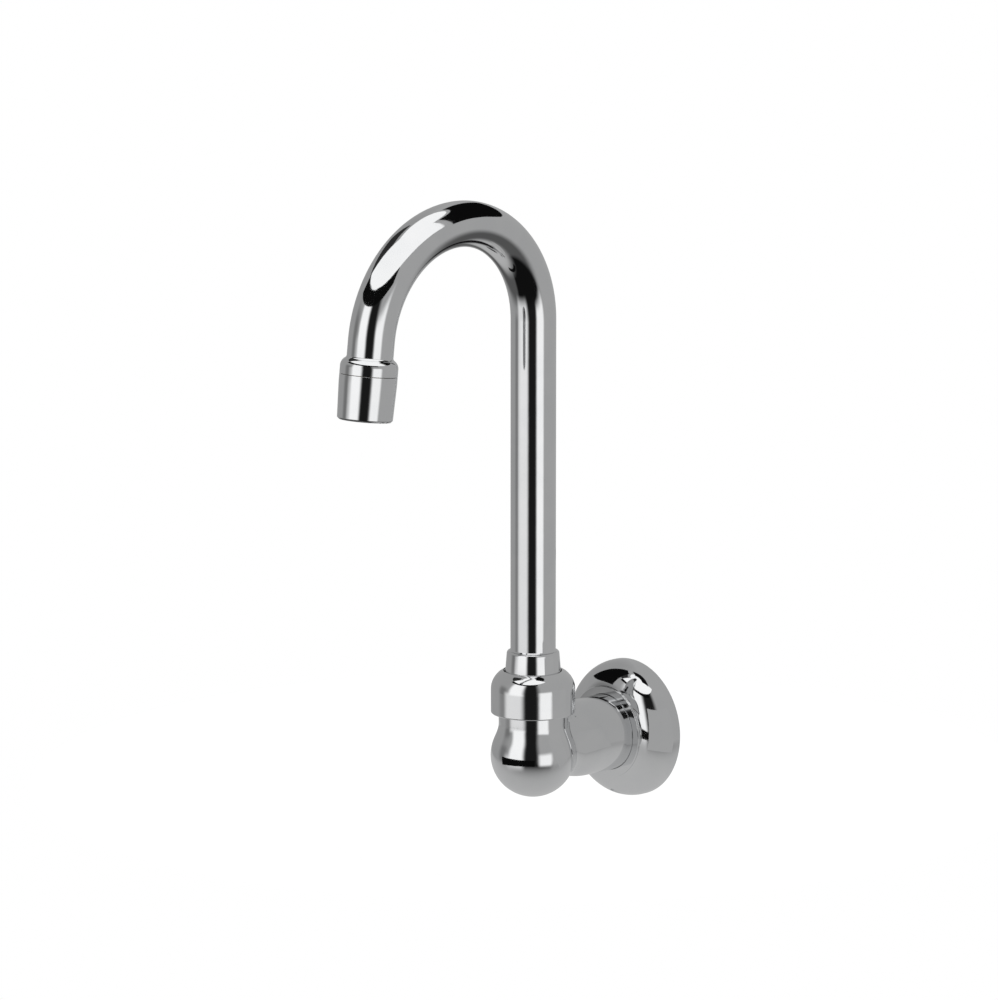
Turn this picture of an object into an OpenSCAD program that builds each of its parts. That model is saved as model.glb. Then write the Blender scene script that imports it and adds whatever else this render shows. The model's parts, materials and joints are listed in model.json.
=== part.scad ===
// Wall-mounted swing gooseneck spout for a commercial kitchen, in millimetres.
// The wall is the plane Y = 0. The supply arm leaves it along -Y at Z = 0, and +Z is up.
// The gooseneck turns on the elbow body about the riser axis and arcs away from the wall.

/* [Gooseneck tube] */
// Outside diameter of the tube
tube_d = 19.05; // [18.7:0.05:19.4]
// Wall thickness of the tube
tube_wall = 1.1; // [0.9:0.1:1.3]
// Height above the arm axis at which the straight riser ends
riser_h = 183; // [150:1:260]
// Centre-line radius of the rising quarter of the arch
rise_bend_r = 44.2; // [40:0.1:60]
// Centre-line radius of the falling part of the arch
fall_bend_r = 49.3; // [40:0.1:60]
// Outward lean of the outlet from straight down, in degrees
outlet_lean = 6.9; // [2:0.1:12]
// Straight tube showing between the bend and the outlet fitting
outlet_straight = 6; // [3:0.5:20]

/* [Elbow body] */
// Distance from the wall to the riser axis
wall_to_riser = 59.3; // [57:0.1:64]
// Diameter of the supply arm
arm_d = 32.5; // [31.5:0.1:33]
// Diameter of the ball at the elbow
ball_d = 35.8; // [35:0.1:38]
// How far the ball's centre lies below the arm axis
ball_drop = 2.9; // [2:0.1:4]
// Diameter of the waist between the ball and the nut
waist_d = 29; // [28.6:0.1:30]
// Diameter of the drilled waterway
waterway_d = 13; // [10:0.5:13.5]

/* [Inlet] */
// Crest diameter of the 1/2-14 tapered pipe thread, taken as a plain bore
inlet_d = 18.4; // [18:0.1:18.6]
// Depth of the threaded inlet
inlet_depth = 16; // [12:0.5:20]

/* [Coupling nut] */
// Outside diameter of the nut's skirt
nut_d = 35.6; // [35:0.1:36.6]
// Height of the nut's lower edge above the arm axis
nut_base_z = 15.4; // [15.2:0.1:16]
// Height of the nut
nut_h = 18.1; // [17.8:0.1:19]
// Height of the nut's rounded shoulder
nut_shoulder_h = 8; // [7:0.1:8.5]
// Radius of the nut's rounded shoulder
nut_shoulder_r = 9; // [8.8:0.1:9.5]

/* [Swivel ferrule] */
// Diameter of the collar that shows above the nut
collar_d = 23.4; // [23:0.1:24]
// Height of the collar's top above the arm axis
collar_top_z = 42.1; // [40:0.1:46]
// Diameter of the socket that the ferrule turns in
socket_d = 21.2; // [21.1:0.05:21.4]
// Thickness of each ferrule O-ring
o_ring_t = 2; // [1.8:0.1:2.2]

/* [Wall flange] */
// Thickness of the flange's straight rim
rim_t = 1.9; // [1.5:0.1:2.4]
// Radius of the domed face, from the arm out to the rim
dome_r = 13.3; // [13:0.1:14.5]
// Diameter of the raised ring round the arm
hub_d = 39.6; // [39:0.1:40]
// Wall thickness of the domed shell
flange_wall = 2.2; // [1.8:0.1:2.4]
// Thickness of the foam gasket behind the flange
gasket_t = 3; // [2:0.1:3.2]

/* [Outlet] */
// Diameter of the outlet fitting and of the aerator where they meet
aerator_d = 23.8; // [23.6:0.1:24.4]
// Diameter of the aerator at its mouth
aerator_mouth_d = 22.8; // [22.6:0.1:23.4]
// Length from the fitting's shoulder to the aerator's mouth
outlet_len = 26.2; // [26:0.1:30]

/* [Fits] */
// Radial running clearance of the surfaces that turn or slide
running_gap = 0.05; // [0.03:0.01:0.08]
// Clearance between pieces that must not touch
free_gap = 0.3; // [0.3:0.05:0.5]

/* [Hidden] */
$fn = 96;

// Overlap that joins two solids, and the overrun of every cutting solid
eps = 0.01;
cut = 1;
// Seat clearance between a seal or an insert and the piece that carries it
seat_gap = 0.02;

// Radii used by more than one piece
tube_r = tube_d / 2;
tube_bore_r = tube_r - tube_wall;
arm_r = arm_d / 2;
socket_r = socket_d / 2;
collar_r = collar_d / 2;
nut_r = nut_d / 2;
aerator_r = aerator_d / 2;
mouth_edge_r = aerator_mouth_d / 2;

// Arch: over the apex and down to the outlet, all in the plane X = 0
arch_y = -wall_to_riser - rise_bend_r;
fall_angle = 90 - outlet_lean;
fall_centre_z = riser_h + rise_bend_r - fall_bend_r;
outlet_y = arch_y - fall_bend_r * sin(fall_angle) - outlet_straight * sin(outlet_lean);
outlet_z = fall_centre_z + fall_bend_r * cos(fall_angle) - outlet_straight * cos(outlet_lean);
// The straight tail starts this far inside the bend, a hair thinner, so that the two fuse
tail_lap = 0.4;

// Elbow body: arm, spigot for the nut, socket for the ferrule, well under the socket
arm_straight = 32;
arm_end = 52;
arm_shoulder_r = 30;
nut_foot_gap = 0.4;
waist_top_z = nut_base_z - nut_foot_gap;
spigot_r = 14.15;
spigot_top_z = 25;
socket_floor_z = 6;
well_r = 7.2;
well_floor_z = -7;

// Swivel stack, upwards from the spigot's top face
thrust_washer_t = 0.5;
ring_t = 1.6;
ring_outer_r = 13.5;
ring_groove_r = 10.1;
ring_split = 3;
ring_z = spigot_top_z + thrust_washer_t + running_gap;
ring_top_z = ring_z + ring_t;
upper_washer_z = ring_top_z + running_gap;
nut_roof_z = upper_washer_z + thrust_washer_t;
nut_top_z = nut_base_z + nut_h;
nut_thread_r = spigot_r + running_gap;
nut_hole_r = collar_r + free_gap;
nut_chamfer = 0.6;

// Ferrule: foot in the socket, collar above the nut, tube brazed into the top
ferrule_r = socket_r - running_gap;
ferrule_bore_r = 6.8;
foot_gap = 1;
ferrule_foot_z = socket_floor_z + foot_gap;
ferrule_chamfer = 0.8;
tube_seat_t = 0.9;
tube_foot_z = ring_top_z + tube_seat_t;
collar_taper = 0.94;
collar_top_r = collar_r * collar_taper;
collar_edge_r = 1.2;
o_ring_low_z = 11.5;
o_ring_high_z = 18.5;
o_ring_play = 0.3;

// Flange stations, measured outwards from the wall
flange_bore_r = arm_r + running_gap;
hub_r = hub_d / 2;
hub_boss_wall = 1.4;
hub_boss_r = hub_r + hub_boss_wall;
hub_proud = 0.4;
hub_front = rim_t + dome_r + hub_proud;
hub_sink = 2;
hub_back = gasket_t + running_gap;
hub_edge_r = 0.5;
screw_station = 8.6;
screw_r = 2.4;
screw_len = 4.3;
screw_tip = 0.8;
screw_key_r = 1.45;
screw_key_depth = 2.2;
seal_station = 12.6;
seal_t = 1.8;
seal_play = 0.2;
gasket_rim_gap = 0.2;
gasket_arm_gap = 1.5;

// Outlet stations, measured along the flow from the fitting's shoulder
shoulder_r = 4;
shoulder_start = 0.75;
shoulder_centre = 4.4;
fitting_len = 7.5;
seam_gap = 0.15;
tube_end = 7;
thread_r = 10.75;
thread_end = 14.5;
outlet_bore_r = 8;
barrel_start = fitting_len + seam_gap;
barrel_straight_end = 11;
barrel_chamfer = 0.8;
chamber_r = 10.3;
core_gap = 0.1;
core_r = chamber_r - core_gap;
mouth_lip_t = 1.4;
chamber_end = outlet_len - mouth_lip_t;
mouth_r = 9.3;
washer_t = 1.5;
washer_start = thread_end + running_gap;
washer_end = washer_start + washer_t;

// Grit screen on the washer's inner step
screen_t = 0.5;
screen_pitch = 1.5;
screen_hole_r = 0.5;
screen_field_r = 6.6;

// Insert: jet plate with a seat for the regulator, above an open cup with air holes
insert_start = washer_end + seat_gap;
insert_plate_t = 3.5;
insert_plate_end = insert_start + insert_plate_t;
insert_bore_r = 9;
jet_count = 10;
jet_r = 0.7;
jet_circle_r = 7.4;
port_count = 6;
port_r = 0.8;
port_circle_r = 3;
air_hole_count = 6;
air_hole_r = 0.6;
air_hole_drop = 1.2;
air_hole_turn = 15;

// Flow regulator: notched disc on the seat's floor, with a post that keeps its ring centred
regulator_seat_r = 5.2;
regulator_seat_depth = 2.5;
regulator_seat_end = insert_start + regulator_seat_depth;
regulator_disc_t = 1.2;
regulator_disc_start = regulator_seat_end - seat_gap - regulator_disc_t;
regulator_post_r = 1.4;
regulator_post_gap = 0.3;
regulator_ring_t = 1;
regulator_ring_r = 3.6;
notch_count = 8;
notch_r = 0.45;
notch_circle_r = 4;

// Honeycomb on the mouth's lip
grid_t = 1;
grid_start = chamber_end - seat_gap - grid_t;
grid_pitch = 2.1;
grid_cell_r = 1.05;
grid_field_r = 8.5;

// Moves its children to the riser axis.
module at_riser() {
    translate([0, -wall_to_riser, 0]) children();
}

// Turns its children so that their +Z leaves the wall and their +Y points up.
module from_wall() {
    rotate([90, 0, 0]) children();
}

// Moves its children to the outlet fitting's shoulder, with their +Z along the flow.
module at_outlet() {
    translate([0, outlet_y, outlet_z]) rotate([180 - outlet_lean, 0, 0]) children();
}

// Rod on the Z axis.
module rod(r, from, to) {
    translate([0, 0, from]) cylinder(h = to - from, r = r);
}

// Square-edged ring on the Z axis.
module ring(outer_r, inner_r, from, to) {
    difference() {
        rod(outer_r, from, to);
        rod(inner_r, from - cut, to + cut);
    }
}

// Rectangle in a half-section: radii across, stations up.
module span(inner_r, outer_r, from, to) {
    translate([inner_r, from]) square([outer_r - inner_r, to - from]);
}

// Rods in a circle round the Z axis, for drilling.
module rod_circle(count, circle_r, hole_r, from, to) {
    for (i = [0:count - 1])
        rotate([0, 0, 360 * i / count]) translate([circle_r, 0, 0]) rod(hole_r, from, to, $fn = 24);
}

// Rods on a triangular grid inside the radius field_r, for perforating. Six sides make a honeycomb.
module rod_field(pitch, field_r, hole_r, sides, from, to) {
    row_pitch = pitch * sin(60);
    reach = ceil(field_r / row_pitch);
    for (column = [-reach:reach], row = [-reach:reach]) {
        x = (column + row / 2) * pitch;
        y = row * row_pitch;
        if (norm([x, y]) < field_r)
            translate([x, y, 0]) rotate([0, 0, 30]) rod(hole_r, from, to, $fn = sides);
    }
}

// O-ring on the Z axis.
module o_ring(inner_r, thickness, z) {
    translate([0, 0, z]) rotate_extrude()
        translate([inner_r + thickness / 2, 0]) circle(d = thickness, $fn = 48);
}

// Solid pipe run that follows the whole centre line of the gooseneck.
module gooseneck_run(pipe_r, foot_z, tail) {
    at_riser() rod(pipe_r, foot_z, riser_h);
    translate([0, arch_y, riser_h]) rotate([90, 0, 90])
        rotate_extrude(angle = 90) translate([rise_bend_r, 0]) circle(r = pipe_r);
    translate([0, arch_y, fall_centre_z]) rotate([90, 0, 90]) rotate([0, 0, 90])
        rotate_extrude(angle = fall_angle) translate([fall_bend_r, 0]) circle(r = pipe_r);
    at_outlet() rod(pipe_r - eps, -outlet_straight - tail_lap, tail);
}

// Half-section of the flange's outside, filled inwards to the arm, for one dome radius.
module dome_section(radius) {
    span(arm_r, arm_r + radius, 0, rim_t);
    intersection() {
        translate([arm_r, rim_t]) circle(r = radius);
        translate([arm_r, rim_t - eps]) square(radius + eps);
    }
}

// Points its children's +Z out of the underside of the flange hub, square to the arm.
module under_hub() {
    translate([0, 0, screw_station]) rotate([90, 0, 0]) children();
}

// Domed cover that slides on the arm and closes against the wall.
module wall_flange() {
    color("gainsboro") from_wall() difference() {
        rotate_extrude() difference() {
            union() {
                dome_section(dome_r);
                span(arm_r, hub_r, hub_front - hub_sink, hub_front - hub_edge_r);
                span(arm_r, hub_r - hub_edge_r, hub_front - hub_sink, hub_front);
                translate([hub_r - hub_edge_r, hub_front - hub_edge_r])
                    circle(r = hub_edge_r, $fn = 32);
            }
            span(0, flange_bore_r, -cut, hub_front + cut);
            span(0, hub_boss_r + eps, -cut, hub_back);
            difference() {
                translate([0, -eps]) dome_section(dome_r - flange_wall);
                span(0, hub_boss_r, -cut, hub_front);
            }
            span(flange_bore_r - eps, flange_bore_r + seal_t + seat_gap,
                 seal_station - seal_t / 2 - seal_play, seal_station + seal_t / 2 + seal_play);
        }
        under_hub() rod(screw_r + seat_gap, arm_r - cut, arm_r + dome_r);
    }
}

// Foam ring that seals the flange to the wall.
module flange_gasket() {
    color("dimgray") from_wall()
        ring(arm_r + dome_r - flange_wall - gasket_rim_gap, arm_r + gasket_arm_gap, 0, gasket_t);
}

// O-ring in the hub that grips the arm and keeps splashes out of the wall.
module flange_seal_ring() {
    color("black") from_wall() o_ring(flange_bore_r, seal_t, seal_station);
}

// Grub screw under the hub that locks the flange against the wall.
module flange_set_screw() {
    tip = arm_r + free_gap;
    head = tip + screw_len;
    color("silver") from_wall() under_hub() difference() {
        union() {
            rod(screw_r, tip + screw_tip, head);
            translate([0, 0, tip]) cylinder(h = screw_tip, r1 = screw_r - screw_tip, r2 = screw_r);
        }
        rod(screw_key_r, head - screw_key_depth, head + cut, $fn = 6);
    }
}

// Cast elbow: supply arm, ball, waist and threaded spigot in one piece, drilled through.
module elbow_body() {
    color("gainsboro") difference() {
        union() {
            from_wall() rotate_extrude() {
                span(0, arm_r, 0, arm_straight);
                intersection() {
                    translate([arm_r - arm_shoulder_r, arm_straight]) circle(r = arm_shoulder_r);
                    span(0, arm_r, arm_straight - eps, arm_end);
                }
            }
            at_riser() {
                translate([0, 0, -ball_drop]) sphere(d = ball_d);
                rod(waist_d / 2, 0, waist_top_z);
                rod(spigot_r, 0, spigot_top_z);
            }
        }
        from_wall() {
            rod(inlet_d / 2, -cut, inlet_depth);
            rod(waterway_d / 2, 0, wall_to_riser);
        }
        at_riser() {
            rod(well_r, well_floor_z, socket_floor_z + eps);
            rod(socket_r, socket_floor_z, spigot_top_z + cut);
        }
    }
}

// Plastic washer that the retaining ring rests on.
module lower_thrust_washer() {
    color("ivory") at_riser()
        ring(ring_outer_r, socket_r + running_gap, spigot_top_z, spigot_top_z + thrust_washer_t);
}

// Split ring snapped into the ferrule, which holds the spout down under the nut.
module retaining_ring() {
    color("goldenrod") at_riser() difference() {
        ring(ring_outer_r, ring_groove_r + seat_gap, ring_z, ring_top_z);
        translate([-ring_split / 2, 0, ring_z - cut])
            cube([ring_split, ring_outer_r + cut, ring_t + 2 * cut]);
    }
}

// Plastic washer between the retaining ring and the nut's roof.
module upper_thrust_washer() {
    color("ivory") at_riser()
        ring(ring_outer_r, collar_r + free_gap, upper_washer_z, upper_washer_z + thrust_washer_t);
}

// Round-shouldered nut that screws on the spigot and clamps the swivel stack.
module coupling_nut() {
    shoulder_z = nut_top_z - nut_shoulder_h;
    color("gainsboro") at_riser() rotate_extrude() difference() {
        union() {
            span(0, nut_r, nut_base_z + nut_chamfer, shoulder_z);
            span(0, nut_r - nut_chamfer, nut_base_z, shoulder_z);
            intersection() {
                translate([nut_r - nut_shoulder_r, shoulder_z]) circle(r = nut_shoulder_r);
                span(0, nut_r, shoulder_z - eps, nut_top_z);
            }
        }
        span(-cut, nut_thread_r, nut_base_z - cut, nut_roof_z);
        span(-cut, nut_hole_r, nut_base_z - cut, nut_top_z + cut);
    }
}

// Brass end of the gooseneck: it turns in the elbow's socket and carries the seals.
module swivel_ferrule() {
    groove_floor_r = ferrule_r - o_ring_t - seat_gap;
    groove_half = o_ring_t / 2 + o_ring_play;
    color("gainsboro") at_riser() rotate_extrude() difference() {
        union() {
            span(0, ferrule_r, ferrule_foot_z + ferrule_chamfer, ring_z - seat_gap);
            span(0, ferrule_r - ferrule_chamfer, ferrule_foot_z, ring_z - seat_gap);
            span(0, ring_groove_r, ferrule_foot_z, ring_top_z + 2 * seat_gap);
            polygon([[0, ring_top_z + seat_gap], [collar_r, ring_top_z + seat_gap],
                     [collar_r, nut_top_z], [collar_top_r, collar_top_z - collar_edge_r],
                     [collar_top_r - collar_edge_r, collar_top_z], [0, collar_top_z]]);
            translate([collar_top_r - collar_edge_r, collar_top_z - collar_edge_r])
                circle(r = collar_edge_r, $fn = 32);
        }
        span(-cut, ferrule_bore_r, ferrule_foot_z - cut, collar_top_z);
        span(-cut, tube_r, tube_foot_z, collar_top_z + cut);
        for (z = [o_ring_low_z, o_ring_high_z])
            span(groove_floor_r, ferrule_r + cut, z - groove_half, z + groove_half);
    }
}

// One seal of the swivel, in its groove at the height given.
module ferrule_o_ring(z) {
    color("black") at_riser() o_ring(ferrule_r - o_ring_t, o_ring_t, z);
}

module ferrule_o_ring_upper() {
    ferrule_o_ring(o_ring_high_z);
}

module ferrule_o_ring_lower() {
    ferrule_o_ring(o_ring_low_z);
}

// Bent tube from the ferrule, up the riser, over the arch and into the outlet fitting.
module gooseneck_tube() {
    color("gainsboro") difference() {
        gooseneck_run(tube_r, tube_foot_z, tube_end);
        gooseneck_run(tube_bore_r, tube_foot_z - cut, tube_end + cut);
    }
}

// Round-shouldered fitting brazed on the tube's end, with the aerator's male thread.
module outlet_adapter() {
    color("gainsboro") at_outlet() rotate_extrude() difference() {
        union() {
            span(0, aerator_r, shoulder_centre, fitting_len);
            intersection() {
                translate([aerator_r - shoulder_r, shoulder_centre]) circle(r = shoulder_r);
                span(0, aerator_r, shoulder_start, shoulder_centre + eps);
            }
            span(0, thread_r, shoulder_centre, thread_end);
        }
        span(-cut, tube_r, -cut, tube_end);
        span(-cut, outlet_bore_r, -cut, thread_end + cut);
    }
}

// Barrel-shaped shell that screws on the fitting and holds the aerator's pieces.
module aerator_housing() {
    color("gainsboro") at_outlet() rotate_extrude() difference() {
        polygon([[0, barrel_start], [aerator_r, barrel_start], [aerator_r, barrel_straight_end],
                 [mouth_edge_r, outlet_len - barrel_chamfer], [mouth_edge_r - barrel_chamfer, outlet_len],
                 [0, outlet_len]]);
        span(-cut, thread_r + running_gap, barrel_start - cut, thread_end);
        span(-cut, chamber_r, barrel_start - cut, chamber_end);
        span(-cut, mouth_r, barrel_start - cut, outlet_len + cut);
    }
}

// Rubber washer that seals the aerator to the fitting.
module aerator_washer() {
    color("black") at_outlet() ring(core_r, outlet_bore_r, washer_start, washer_end);
}

// Perforated disc that keeps grit out of the aerator.
module inlet_screen() {
    top = washer_end - screen_t;
    color("silver") at_outlet() difference() {
        rod(outlet_bore_r - running_gap, top, washer_end);
        rod_field(screen_pitch, screen_field_r, screen_hole_r, 24, top - cut, washer_end + cut);
    }
}

// Plastic cup whose jets break up the stream and draw air in.
module aerator_insert() {
    color("white") at_outlet() difference() {
        rod(core_r, insert_start, grid_start - seat_gap);
        rod(insert_bore_r, insert_plate_end, grid_start + cut);
        rod(regulator_seat_r, insert_start - cut, regulator_seat_end);
        rod_circle(jet_count, jet_circle_r, jet_r, insert_start - cut, insert_plate_end + cut);
        rod_circle(port_count, port_circle_r, port_r, regulator_seat_end - cut, insert_plate_end + cut);
        for (i = [0:air_hole_count - 1])
            translate([0, 0, insert_plate_end + air_hole_drop])
                rotate([0, 90, 360 * i / air_hole_count + air_hole_turn])
                    rod(air_hole_r, insert_bore_r - cut, core_r + cut, $fn = 24);
    }
}

// Notched disc with a centre post that meters the flow.
module flow_regulator() {
    disc_end = regulator_disc_start + regulator_disc_t;
    color("mediumseagreen") at_outlet() difference() {
        union() {
            rod(regulator_seat_r - running_gap, regulator_disc_start, disc_end);
            rod(regulator_post_r, insert_start + regulator_post_gap, regulator_disc_start + eps);
        }
        rod_circle(notch_count, notch_circle_r, notch_r, regulator_disc_start - cut, disc_end + cut);
    }
}

// Rubber ring that squeezes over the regulator's notches as the pressure rises.
module regulator_o_ring() {
    ring_centre = regulator_disc_start - seat_gap - regulator_ring_t / 2;
    color("black") at_outlet()
        o_ring(regulator_ring_r - regulator_ring_t / 2, regulator_ring_t, ring_centre);
}

// Honeycomb that straightens the stream at the mouth.
module outlet_screen() {
    color("silver") at_outlet() difference() {
        rod(core_r, grid_start, grid_start + grid_t);
        rod_field(grid_pitch, grid_field_r, grid_cell_r, 6, grid_start - cut, grid_start + grid_t + cut);
    }
}

wall_flange();
flange_gasket();
flange_seal_ring();
flange_set_screw();
elbow_body();
lower_thrust_washer();
retaining_ring();
upper_thrust_washer();
coupling_nut();
swivel_ferrule();
ferrule_o_ring_upper();
ferrule_o_ring_lower();
gooseneck_tube();
outlet_adapter();
aerator_housing();
aerator_washer();
inlet_screen();
aerator_insert();
flow_regulator();
regulator_o_ring();
outlet_screen();
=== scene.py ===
"""Looks of a wall-mounted swing gooseneck spout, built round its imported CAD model.

The wall is the plane Y = 0, the supply arm leaves it along -Y at Z = 0, and +Z is up. Blender works in
metres. Half-sections are drawn in millimetres as (radius, station), where the station is measured along
the piece's own axis: up the riser, out of the wall, or along the flow out of the outlet.
"""

import json
import math

import bmesh
import bpy
import numpy as np
from mathutils import Matrix, Vector


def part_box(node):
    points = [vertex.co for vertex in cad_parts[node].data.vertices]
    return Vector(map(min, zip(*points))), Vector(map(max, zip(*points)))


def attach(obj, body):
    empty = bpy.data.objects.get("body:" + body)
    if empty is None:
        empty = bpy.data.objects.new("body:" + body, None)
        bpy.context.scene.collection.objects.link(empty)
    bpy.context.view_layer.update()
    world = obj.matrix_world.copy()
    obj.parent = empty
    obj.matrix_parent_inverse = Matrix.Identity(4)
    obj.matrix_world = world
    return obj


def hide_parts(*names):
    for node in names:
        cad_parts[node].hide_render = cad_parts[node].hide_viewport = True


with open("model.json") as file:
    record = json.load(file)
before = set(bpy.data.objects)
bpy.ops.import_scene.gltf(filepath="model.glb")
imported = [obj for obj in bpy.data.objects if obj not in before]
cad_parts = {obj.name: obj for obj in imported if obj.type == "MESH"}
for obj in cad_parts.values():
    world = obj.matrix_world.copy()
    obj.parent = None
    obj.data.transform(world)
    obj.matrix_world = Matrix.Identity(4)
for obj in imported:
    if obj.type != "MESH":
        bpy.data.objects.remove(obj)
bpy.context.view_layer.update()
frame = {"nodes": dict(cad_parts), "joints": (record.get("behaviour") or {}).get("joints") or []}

# Metres in a millimetre, sides of a turned piece, and the spacing that keeps a section's sides whole
MM = 0.001
SEGMENTS = 144
WHOLE = 80.0


# ---------------------------------------------------------------- places and sizes, from the frame

def half_width(node):
    """Half of a node's size across X, in millimetres: its largest radius about any axis in X = 0."""
    low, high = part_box(node)
    return (high.x - low.x) / 2 / MM


def axes_at(origin, direction):
    """Matrix whose +Z is the direction given, at origin, with its X along the object's X."""
    z = Vector(direction).normalized()
    x = Vector((1, 0, 0))
    turn = Matrix((x, z.cross(x), z)).transposed()
    return Matrix.Translation(Vector(origin)) @ turn.to_4x4()


joints = {joint["name"]: joint for joint in frame["joints"]}
swivel = joints["spout_swivel"]
unscrew = joints["aerator_unscrew"]
riser_y = swivel["pos_m"][1]

RISER = axes_at((0, riser_y, 0), swivel["axis"])
WALL = axes_at((0, 0, 0), joints["flange_slide"]["axis"])
OUTLET = axes_at(unscrew["pos_m"], unscrew["axis"])

TUBE_R = half_width("gooseneck_tube")
BALL_R = half_width("elbow_body")
NUT_R = half_width("coupling_nut")
RIM_R = half_width("wall_flange")
COLLAR_R = half_width("swivel_ferrule")
AERATOR_R = half_width("aerator_housing")


# ---------------------------------------------------------------- mesh helpers

def arc(centre, radius, start, end, steps=12):
    """Points of an arc in a half-section. Angles in degrees, from the radius axis to the station axis."""
    angles = [math.radians(start + (end - start) * i / steps) for i in range(steps + 1)]
    return [(centre[0] + radius * math.cos(a), centre[1] + radius * math.sin(a)) for a in angles]


def fillet(before, corner, after, radius, steps=5):
    """Points of the arc that rounds a corner."""
    p, a, b = (np.array(q[:2], float) for q in (corner, before, after))
    to_a = (a - p) / np.linalg.norm(a - p)
    to_b = (b - p) / np.linalg.norm(b - p)
    half = math.acos(np.clip(to_a @ to_b, -1, 1)) / 2
    reach = radius / math.tan(half)
    middle = (to_a + to_b) / np.linalg.norm(to_a + to_b)
    centre = p + middle * radius / math.sin(half)
    first, last = p + to_a * reach - centre, p + to_b * reach - centre
    sweep = math.pi - 2 * half
    points = []
    for i in range(steps + 1):
        t = i / steps
        weight = math.sin((1 - t) * sweep), math.sin(t * sweep)
        points.append(tuple(centre + (first * weight[0] + last * weight[1]) / math.sin(sweep)))
    return points


def section(*corners, spacing=3.0):
    """Closed half-section. A corner is (radius, station) or (radius, station, fillet radius).
    Long straight sides are cut up so that no face is much longer than the spacing."""
    outline = []
    count = len(corners)
    for i, corner in enumerate(corners):
        if len(corner) == 3:
            outline += fillet(corners[i - 1], corner, corners[(i + 1) % count], corner[2])
        else:
            outline.append(tuple(corner))
    dense = []
    for i, point in enumerate(outline):
        here, following = np.array(point), np.array(outline[(i + 1) % len(outline)])
        parts = max(1, math.ceil(math.dist(here, following) / spacing))
        dense += [tuple(here + (following - here) * k / parts) for k in range(parts)]
    return dense


class Thread:
    """Right-handed screw thread cut into, or left standing on, one straight stretch of a half-section."""

    # Rows of points to a turn, and the flanks' slope: 1 leaves no flats, more leaves wider ones
    ROWS_PER_TURN = 8
    FLANK_SLOPE = 1.5

    def __init__(self, radius, start, end, pitch, depth, fade=0.8):
        self.radius, self.start, self.end = radius, start, end
        self.pitch, self.depth, self.fade = pitch, depth, fade

    def stations(self):
        """Stations of the rows of points."""
        rows = math.ceil((self.end - self.start) / self.pitch * self.ROWS_PER_TURN)
        return [self.start + (self.end - self.start) * i / rows for i in range(rows + 1)]

    def is_on(self, point, following):
        """Whether the side of a half-section between two neighbouring points is the stretch to thread."""
        ends = sorted((point[1], following[1]))
        return math.isclose(point[0], self.radius) and np.allclose(ends, (self.start, self.end))

    def radii(self, station, angles):
        """Radius at each angle: the flanks slope, the crests and roots are narrow flats."""
        turn = (station / self.pitch - angles / (2 * math.pi)) % 1.0
        flank = self.FLANK_SLOPE * (1 - np.abs(2 * turn - 1)) - (self.FLANK_SLOPE - 1) / 2
        edge = min(station - self.start, self.end - station) / self.fade
        return self.radius - self.depth * np.clip(flank, 0, 1) * min(1.0, max(0.0, edge))


def new_piece(name, verts, faces):
    """A mesh object in the scene, from its points and faces."""
    mesh = bpy.data.meshes.new(name)
    mesh.from_pydata([tuple(v) for v in verts], [], faces)
    mesh.validate()
    obj = bpy.data.objects.new(name, mesh)
    bpy.context.scene.collection.objects.link(obj)
    return obj


def smooth(obj, angle=32):
    """Smooth shading that keeps flats flat beside their fillets."""
    mesh = obj.data
    mesh.polygons.foreach_set("use_smooth", [True] * len(mesh.polygons))
    mesh.set_sharp_from_angle(angle=math.radians(angle))
    weighted = obj.modifiers.new("normals", "WEIGHTED_NORMAL")
    weighted.keep_sharp = True


def skin(name, rings):
    """Closed surface over rings of points, joined in order and the last one to the first."""
    rings = np.asarray(rings)
    rows, columns = rings.shape[:2]
    faces = []
    for i in range(rows):
        j = (i + 1) % rows
        for k in range(columns):
            m = (k + 1) % columns
            faces.append((i * columns + k, i * columns + m, j * columns + m, j * columns + k))
    obj = new_piece(name, rings.reshape(-1, 3), faces)
    face_outwards(obj)
    return obj


def face_outwards(obj):
    """Closes a mesh where its rings shrink to a point on the axis, and makes every face point out of it."""
    same_place = 1e-7
    bm = bmesh.new()
    bm.from_mesh(obj.data)
    bmesh.ops.remove_doubles(bm, verts=bm.verts, dist=same_place)
    bmesh.ops.recalc_face_normals(bm, faces=bm.faces)
    bm.to_mesh(obj.data)
    bm.free()


def lathe(name, place, outline, threads=(), segments=SEGMENTS):
    """Turned piece: a closed half-section swept round the axis of place. A side of the section that runs
    from a thread's start to its end, or back, is cut with that thread."""
    angles = np.arange(segments) * 2 * math.pi / segments
    rings = []
    for i, (radius, station) in enumerate(outline):
        following = outline[(i + 1) % len(outline)]
        rings.append((np.full(segments, radius), station))
        for thread in threads:
            if thread.is_on((radius, station), following):
                stations = thread.stations()[1:-1]
                if station > following[1]:
                    stations.reverse()
                rings += [(thread.radii(s, angles), s) for s in stations]
    points = [np.stack([r * np.cos(angles), r * np.sin(angles), np.full(segments, z)], 1) for r, z in rings]
    obj = skin(name, np.array(points) * MM)
    obj.data.transform(place)
    return obj


def cut_with(obj, cutter, operation="DIFFERENCE"):
    """Boolean with a helper solid, which is then removed."""
    step = obj.modifiers.new("cut", "BOOLEAN")
    step.operation = operation
    step.object = cutter
    step.solver = "MANIFOLD"
    apply_modifiers(obj)
    bpy.data.objects.remove(cutter)


def apply_modifiers(obj):
    """Turns the evaluated mesh into the object's own."""
    graph = bpy.context.evaluated_depsgraph_get()
    mesh = bpy.data.meshes.new_from_object(obj.evaluated_get(graph), depsgraph=graph)
    obj.modifiers.clear()
    obj.data = mesh


# ---------------------------------------------------------------- material helpers

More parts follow.
